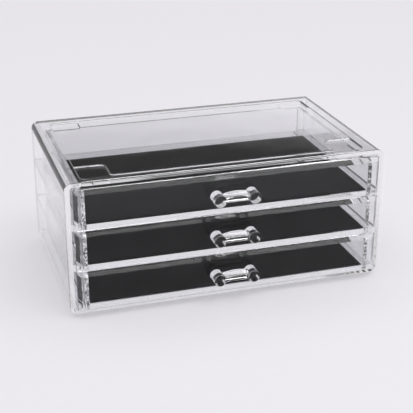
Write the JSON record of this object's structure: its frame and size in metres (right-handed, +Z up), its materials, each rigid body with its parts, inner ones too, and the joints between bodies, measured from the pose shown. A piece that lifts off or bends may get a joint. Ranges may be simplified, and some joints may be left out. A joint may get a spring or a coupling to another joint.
{
  "type": "drawer jewelry box",
  "caption": "Clear tabletop jewellery box: a rounded sleeve case with stacked pull-out drawers, thick bevelled drawer fronts, arched bar handles and dark liner mats.",
  "frame": {"origin": "middle of the whole part seen from above, handles included, at the underside of the feet", "axes": "+Z up, +X along the width to the right seen from the front, drawers pull out along -Y"},
  "size_m": [0.238, 0.16, 0.102],
  "materials": {
    "clear_plastic": "polished clear polystyrene",
    "liner_felt": "black flocked liner mat"
  },
  "bodies": {
    "case": {"case_sleeve": "clear_plastic", "back_panel": "clear_plastic", "corner_feet": "clear_plastic", "bottom_drawer_guides": "clear_plastic", "middle_drawer_runners": "clear_plastic", "top_drawer_runners": "clear_plastic"},
    "bottom_drawer": {"bottom_drawer_tray": "clear_plastic", "bottom_drawer_front": "clear_plastic", "bottom_drawer_handle": "clear_plastic", "bottom_drawer_mat": "liner_felt"},
    "middle_drawer": {"middle_drawer_tray": "clear_plastic", "middle_drawer_front": "clear_plastic", "middle_drawer_handle": "clear_plastic", "middle_drawer_mat": "liner_felt"},
    "top_drawer": {"top_drawer_tray": "clear_plastic", "top_drawer_front": "clear_plastic", "top_drawer_handle": "clear_plastic", "top_drawer_mat": "liner_felt"}
  },
  "joints": [
    {"name": "bottom_drawer_slide", "type": "slide", "parent": "case", "child": "bottom_drawer", "axis": [0, -1, 0], "range_m": [0, 0.11]},
    {"name": "middle_drawer_slide", "type": "slide", "parent": "case", "child": "middle_drawer", "axis": [0, -1, 0], "range_m": [0, 0.11]},
    {"name": "top_drawer_slide", "type": "slide", "parent": "case", "child": "top_drawer", "axis": [0, -1, 0], "range_m": [0, 0.11]}
  ]
}
